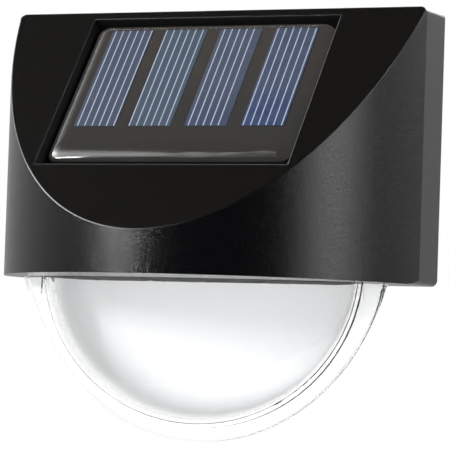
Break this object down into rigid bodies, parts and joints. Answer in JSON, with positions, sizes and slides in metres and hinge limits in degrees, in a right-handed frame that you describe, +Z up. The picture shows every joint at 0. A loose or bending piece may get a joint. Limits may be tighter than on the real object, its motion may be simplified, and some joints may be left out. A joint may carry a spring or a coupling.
{
  "type": "solar fence light",
  "caption": "Wall-hung solar light: slanted solar panel in a curved black housing over a clear half-moon lens and white dish.",
  "frame": {"origin": "on the wall plane, midway between the two keyhole seats that carry the lamp", "axes": "+Y into the wall, +Z up, +X to the right as seen from the front"},
  "size_m": [0.105, 0.0533, 0.1013],
  "materials": {
    "black_housing": "black moulded plastic, fine sparkle texture on the curved front, smoother slanted face",
    "black_cover": "fine matte black moulded plastic",
    "steel_screw": "zinc plated steel",
    "clear_lens": "water-clear polished plastic",
    "white_dish": "smooth white plastic",
    "black_foam": "closed-cell foam",
    "white_foam": "double-sided foam tape",
    "black_rubber": "soft rubber",
    "panel_board": "brown-grey board under clear resin",
    "clear_resin": "clear poured resin with a rounded glossy rim",
    "black_lead": "insulated wire",
    "red_lead": "insulated wire",
    "green_board": "lacquered circuit board",
    "led_body": "clear resin",
    "tinned_pin": "tinned wire",
    "solder": "solder",
    "chip_body": "moulded black resin",
    "coil_body": "lacquered coil",
    "capacitor_sleeve": "shrunk sleeve",
    "nickel_sheet": "nickel plated sheet",
    "nickel_wire": "nickel plated spring wire",
    "switch_plastic": "black moulded plastic",
    "knob_plastic": "black moulded plastic",
    "battery_metal": "bare can ends",
    "battery_wrap": "plain shrunk sleeve without print",
    "solar_cell": "dark blue polycrystalline cell",
    "silver_line": "printed silver line"
  },
  "bodies": {
    "lamp": {"back_cover": "black_cover", "battery_can": "battery_metal", "battery_jacket": "battery_wrap", "battery_lead_black": "black_lead", "battery_lead_red": "red_lead", "battery_spring": "nickel_wire", "board_screws": "steel_screw", "button_plate": "nickel_sheet", "capacitor": "capacitor_sleeve", "cell_1": "solar_cell", "cell_2": "solar_cell", "cell_3": "solar_cell", "cell_4": "solar_cell", "cell_lines_1": "silver_line", "cell_lines_2": "silver_line", "cell_lines_3": "silver_line", "cell_lines_4": "silver_line", "chip_pins": "tinned_pin", "circuit_board": "green_board", "controller_chip": "chip_body", "cover_screws": "steel_screw", "dish_screws": "steel_screw", "door_gasket": "black_rubber", "housing": "black_housing", "inductor": "coil_body", "inductor_leads": "tinned_pin", "led_left": "led_body", "led_pins": "tinned_pin", "led_right": "led_body", "lens": "clear_lens", "lens_gasket": "black_foam", "panel_board": "panel_board", "panel_lead_black": "black_lead", "panel_lead_red": "red_lead", "panel_resin": "clear_resin", "panel_tape": "white_foam", "reflector_dish": "white_dish", "solder_pads": "solder", "spring_plate": "nickel_sheet", "switch_base": "switch_plastic", "switch_pins": "tinned_pin", "switch_shell": "nickel_sheet"},
    "door": {"battery_door": "black_cover", "door_screws": "steel_screw"},
    "knob": {"switch_knob": "knob_plastic"}
  },
  "joints": [
    {"name": "knob_slide", "type": "slide", "parent": "lamp", "child": "knob", "axis": [1, 0, 0], "range_m": [0, 0.002]},
    {"name": "door_lift", "type": "slide", "parent": "lamp", "child": "door", "axis": [0, 1, 0], "range_m": [0, 0.03]}
  ]
}
